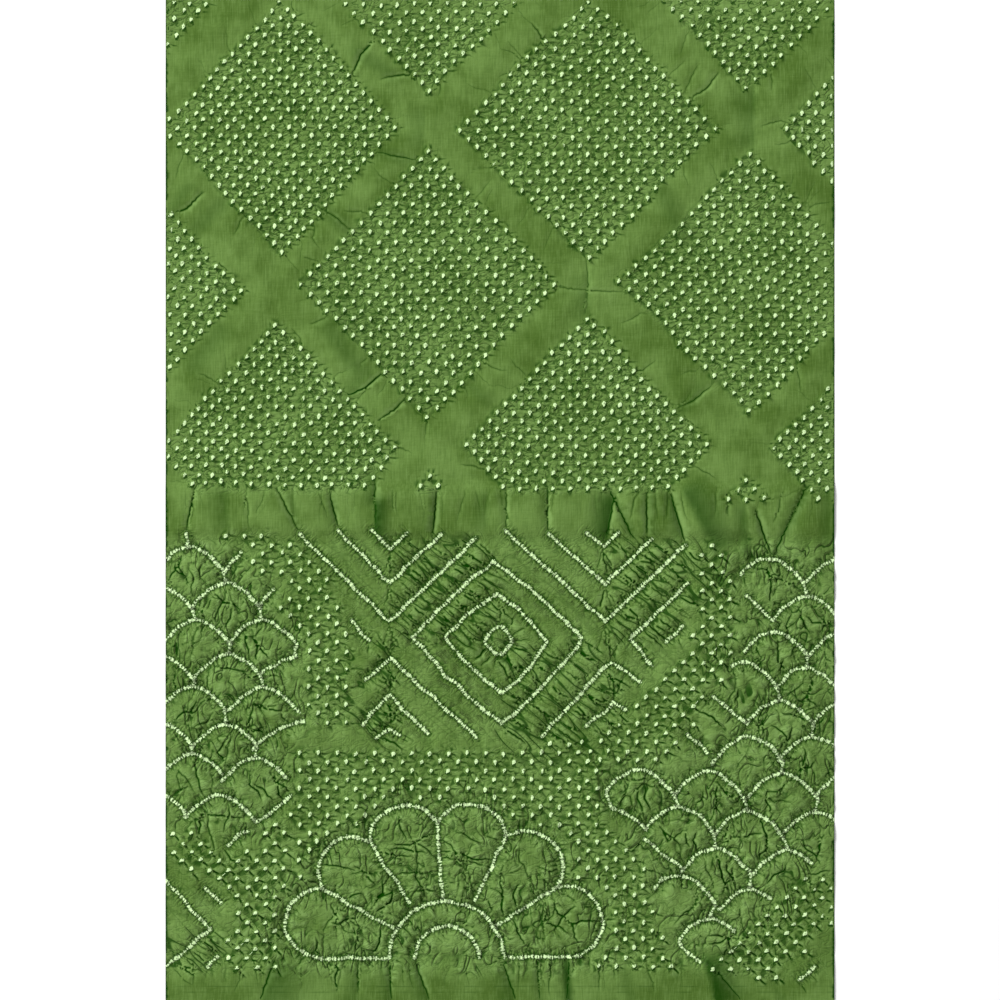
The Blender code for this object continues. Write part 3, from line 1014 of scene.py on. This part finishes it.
# A row of knots is a chain of pale beads, uneven in pitch and size, with whiskers where the gathers let the
# dye in unevenly.
uneven = add("TexNoise", {"noise_dimensions": "1D"}, W=run, Scale=0.45, Detail=1.0)
bead_run = add("Math", "MULTIPLY_ADD", uneven, 1.6, run)
bead_x = add("Math", "SUBTRACT", add("Math", "FRACT", bead_run), 0.5)
bead_x = add("Math", "MULTIPLY", bead_x, KNOT_PITCH / 1.4)
bead = add("CombineXYZ", {}, bead_x, add("Math", "DIVIDE", off, 1.4))
bead = add("VectorMath", "LENGTH", bead, out="Value")
bead_size = add("TexWhiteNoise", {"noise_dimensions": "1D"}, W=add("Math", "FLOOR", bead_run), out="Value")
bead = add("Math", "MULTIPLY_ADD", bead_size, 0.4, bead)
whisker_place = add("CombineXYZ", {}, add("Math", "MULTIPLY", run, 1.9), add("Math", "MULTIPLY", off, 0.5))
whisker = add("Math", "SUBTRACT", add("TexNoise", {}, Vector=whisker_place, Scale=1.0, Detail=1.0), 0.5)
bead = add("Math", "MULTIPLY_ADD", whisker, 2.0, bead)
bead = add("Math", "MULTIPLY_ADD", add("Math", "SUBTRACT", fray, 0.5), 2.4, bead)
bead = add("MapRange", SMOOTH, bead, 1.25, 0.8)
paleness = add("Math", "MAXIMUM", dot_paleness, bead)

# Gathers run out at right angles from each row of knots, with painted shade in their valleys.
gather = add("CombineXYZ", {}, add("Math", "MULTIPLY", run, 0.6), add("Math", "MULTIPLY", off, 0.12), 7.0)
gather = add("TexNoise", {}, Vector=gather, Scale=1.0, Detail=1.0)
gather = add("Math", "ABSOLUTE", add("Math", "SUBTRACT", gather, 0.5))
gather_dark = add("Math", "MULTIPLY", add("MapRange", SMOOTH, gather, 0.045, 0.0), gathered)
gather_dip = add("Math", "MULTIPLY", add("MapRange", {}, gather, 0.16, 0.0), gathered)

# Wrinkles raked down to the right across the chevrons, about 5 mm apart, with painted shade in their valleys.
rake_place = add("Mapping", {"vector_type": "TEXTURE"}, place, Rotation=(0.0, 0.0, math.radians(-40.0)),
                 Scale=(4.6, 1.0, 1.0))
rake = add("TexNoise", {}, Vector=rake_place, Scale=PER_MM / 8.5, Detail=0.5, Distortion=0.2)
rake = add("Math", "ABSOLUTE", add("Math", "SUBTRACT", rake, 0.5))
rake_dark = add("Math", "MULTIPLY", add("MapRange", SMOOTH, rake, 0.045, 0.01), rake_share)
rake_dip = add("Math", "MULTIPLY", add("MapRange", {}, rake, 0.15, 0.0), rake_share)

# Fine crinkles run mostly across the cloth between the dots. Larger facets fill the scallops and petals.
# Both have painted shade in their valleys.
patchy = add("TexNoise", {}, Vector=place, Scale=PER_MM / 16.0, Detail=2.0)
crinkle_share = add("Math", "MAXIMUM", dotted_share, add("Math", "MULTIPLY", crumple_share, 0.12))
crinkle_share = add("Math", "MULTIPLY_ADD", crinkle_share, 0.9, 0.1)
crinkle = add("Mapping", {"vector_type": "TEXTURE"}, place, Rotation=(0.0, 0.0, 0.2), Scale=(1.7, 1.0, 1.0))
crinkle = add("TexNoise", {}, Vector=crinkle, Scale=PER_MM / 4.8, Detail=1.0, Distortion=0.8)
crinkle = add("Math", "ABSOLUTE", add("Math", "SUBTRACT", crinkle, 0.5))
crinkle_dark = add("Math", "MULTIPLY", add("MapRange", SMOOTH, crinkle, 0.03, 0.005), crinkle_share)
crinkle_dip = add("Math", "MULTIPLY", add("MapRange", {}, crinkle, 0.16, 0.0), crinkle_share)
facet = add("Mapping", {"vector_type": "TEXTURE"}, place, Scale=(1.0, 1.8, 1.0))
facet = add("TexNoise", {}, Vector=facet, Scale=PER_MM / 15.0, Detail=1.0, Distortion=1.3)
facet = add("Math", "ABSOLUTE", add("Math", "SUBTRACT", facet, 0.5))
facet_share = add("Math", "MULTIPLY", crumple_share, add("MapRange", SMOOTH, patchy, 0.62, 0.4))
facet_dark = add("Math", "MULTIPLY", add("MapRange", SMOOTH, facet, 0.03, 0.005), facet_share)
facet_dip = add("Math", "MULTIPLY", add("MapRange", {}, facet, 0.09, 0.0), facet_share)

# Painted shade at the lower right of each dot, away from the light, in the crease drawn out from it, beside
# the knots and down each crease. The two side edges get a dark line.
shade = add("VectorMath", "DISTANCE", dot_flat, (0.8, -0.8, 0.0), out="Value")
shade = add("MapRange", SMOOTH, shade, 2.6, 1.6)
shade = add("Math", "MULTIPLY", shade, add("MapRange", SMOOTH, peak, 0.05, 0.25))
tail = add("Math", "ABSOLUTE", add("Math", "ADD", dot_v, 0.35))
tail = add("MapRange", SMOOTH, tail, 0.85, 0.25)
tail = add("Math", "MULTIPLY", tail, add("MapRange", SMOOTH, dot_u, 0.8, 1.4))
tail = add("Math", "MULTIPLY", tail, add("MapRange", SMOOTH, peak, 0.01, 0.1))
beside = add("MapRange", {}, whisker, -0.15, 0.15, 0.15, 0.8)
beside = add("Math", "MULTIPLY", add("MapRange", SMOOTH, off, 3.3, 1.8), beside)
crease_dark = add("MapRange", SMOOTH, creased, 0.2, 0.8)
edge_dark = add("MapRange", SMOOTH, edge, 0.45, 0.9)

# The ground: slow patches of thinner dye, then the yarns, about 0.35 mm apart in real voile and drawn at
# 0.9 mm to show, and a faint pair of thick weft yarns near the cut end.
tone = add("TexNoise", {}, Vector=place, Scale=PER_MM / 50.0, Detail=3.0)
tone = add("Math", "MULTIPLY_ADD", add("Math", "SUBTRACT", patchy, 0.5), 0.5, tone)
ground = add("MixRGB", {}, add("MapRange", SMOOTH, tone, 0.3, 0.7), GREEN, LIGHT_GREEN)
warp_yarns = add("Mapping", {"vector_type": "TEXTURE"}, place, Scale=(1.0, SLUB_LENGTH, 1.0))
weft_yarns = add("Mapping", {"vector_type": "TEXTURE"}, place, Scale=(SLUB_LENGTH, 1.0, 1.0))
warp_yarns = add("TexNoise", {}, Vector=warp_yarns, Scale=PER_MM / YARN_MM, Detail=2.0)
weft_yarns = add("TexNoise", {}, Vector=weft_yarns, Scale=PER_MM / YARN_MM, Detail=2.0)
weave = add("Math", "MULTIPLY_ADD", add("Math", "SUBTRACT", weft_yarns, 0.5), 0.35, warp_yarns)
ground = add("MixRGB", {}, add("MapRange", {}, weave, 0.5, 0.8, 0.0, 0.32), ground, PALE_AND_LIT_GREEN)
ground = add("MixRGB", {}, add("MapRange", {}, weave, 0.5, 0.2, 0.0, 0.26), ground, DEEP_AND_SHADE_GREEN)
across = add("Math", "ADD", add("SeparateXYZ", {}, place, out="Y"), HEM_LINE * MM)
across = add("Math", "SUBTRACT", add("Math", "ABSOLUTE", across), HEM_LINE_HALF * MM)
hem_line = add("MapRange", SMOOTH, add("Math", "ABSOLUTE", across), 0.8 * MM, 0.2 * MM)
hem_line = add("Math", "MULTIPLY", hem_line, add("MapRange", {}, patchy, 0.45, 0.6, 0.0, 0.3))
ground = add("MixRGB", {}, hem_line, ground, DEEP_AND_SHADE_GREEN)
# Lighter where the cloth is dotted or crumpled, and a painted highlight on every ridge.
worn_and_ridge_lit = add("Math", "MULTIPLY", add("Math", "MAXIMUM", dotted_share, crumple_share), 0.24)
worn_and_ridge_lit = add("Math", "MULTIPLY_ADD", add("MapRange", SMOOTH, hollow, -0.1, -0.8), 0.5, worn_and_ridge_lit)
ground = add("MixRGB", {}, worn_and_ridge_lit, ground, PALE_AND_LIT_GREEN)

# Painted shade in hollows, beside falls, dots and knots, and along creases, crinkles, facets, wrinkles and
# gathers, with the dark line on the two side edges: how far towards the deep green each goes at its
# strongest.
PAINTED_SHADE_AND_EDGE_LINE = (
    (fall, 0.85),
    (shade, 0.85),
    (tail, 1.0),
    (beside, 1.0),
    (crinkle_dark, 0.7),
    (facet_dark, 0.9),
    (rake_dark, 0.85),
    (gather_dark, 0.95),
    (crease_dark, 1.0),
    (edge_dark, 1.0),
)
dark = add("Math", "MULTIPLY", add("MapRange", SMOOTH, hollow, 0.1, 0.8), 0.8)
for darkening, strength in PAINTED_SHADE_AND_EDGE_LINE:
    dark = add("Math", "MAXIMUM", dark, add("Math", "MULTIPLY", darkening, strength))
ground = add("MixRGB", {}, dark, ground, DEEP_AND_SHADE_GREEN)
cotton = add("MixRGB", {}, fray, PALE_COTTON, BRIGHT_COTTON)
colour = add("MixRGB", {}, paleness, ground, cotton)

# What stands up from the skin, and sinks into it, in millimetres.
RELIEF = (
    (crinkle_dip, -0.45),
    (facet_dip, -1.4),
    (rake_dip, -1.2),
    (gather_dip, -0.7),
    (bead, 0.6),
    (dot, 0.35),
)
relief = add("Math", "MULTIPLY", weave, 0.07)
for form, rise in RELIEF:
    relief = add("Math", "MULTIPLY_ADD", form, rise, relief)
bump = add("Bump", {}, Height=relief, Distance=MM, Strength=1.0)

shader = add("BsdfPrincipled", {}, Base_Color=colour, Normal=bump)
shader.node.inputs["Roughness"].default_value = 0.95
shader.node.inputs["IOR"].default_value = 1.5
shader.node.inputs["Specular IOR Level"].default_value = 0.02
shader.node.inputs["Sheen Weight"].default_value = 0.005
shader.node.inputs["Sheen Roughness"].default_value = 0.5
add("OutputMaterial", {}, shader)
skin.materials.append(material)

# Table, light and camera
# A pale table under the cloth, a wide soft light from the upper left and a camera straight above.
FRAME_SIDE = 0.7488
bpy.ops.mesh.primitive_plane_add(size=6.0, location=(0.0, 0.0, 0.0))
floor = bpy.context.object
floor.name = "table"
table_paint = bpy.data.materials.new("pale_table")
table_paint.use_nodes = True
table_paint.node_tree.nodes["Principled BSDF"].inputs["Base Color"].default_value = linear("#FBFBFA")
table_paint.node_tree.nodes["Principled BSDF"].inputs["Roughness"].default_value = 0.9
floor.data.materials.append(table_paint)


def aim(thing, target):
    thing.rotation_mode = "QUATERNION"
    thing.rotation_quaternion = (Vector(target) - thing.location).to_track_quat("-Z", "Y")


camera = bpy.data.objects.new("camera", bpy.data.cameras.new("camera"))
bpy.context.scene.collection.objects.link(camera)
camera.data.lens = 120.0
camera.data.sensor_width = 36.0
camera.location = (0.0, 0.0, FRAME_SIDE * camera.data.lens / camera.data.sensor_width + 0.002)
camera.data.clip_start, camera.data.clip_end = 0.1, 20.0
bpy.context.scene.camera = camera

softbox = bpy.data.objects.new("softbox", bpy.data.lights.new("softbox", "AREA"))
bpy.context.scene.collection.objects.link(softbox)
softbox.location = (-6.6, 3.9, 4.8)
softbox.data.shape = "SQUARE"
softbox.data.size = 3.0
softbox.data.energy = 990.0
aim(softbox, (0.0, 0.0, 0.0))

world = bpy.data.worlds.new("studio")
world.use_nodes = True
world.node_tree.nodes["Background"].inputs["Color"].default_value = (1.0, 1.0, 1.0, 1.0)
world.node_tree.nodes["Background"].inputs["Strength"].default_value = 0.5
bpy.context.scene.world = world
bpy.context.scene.view_settings.view_transform = "Standard"
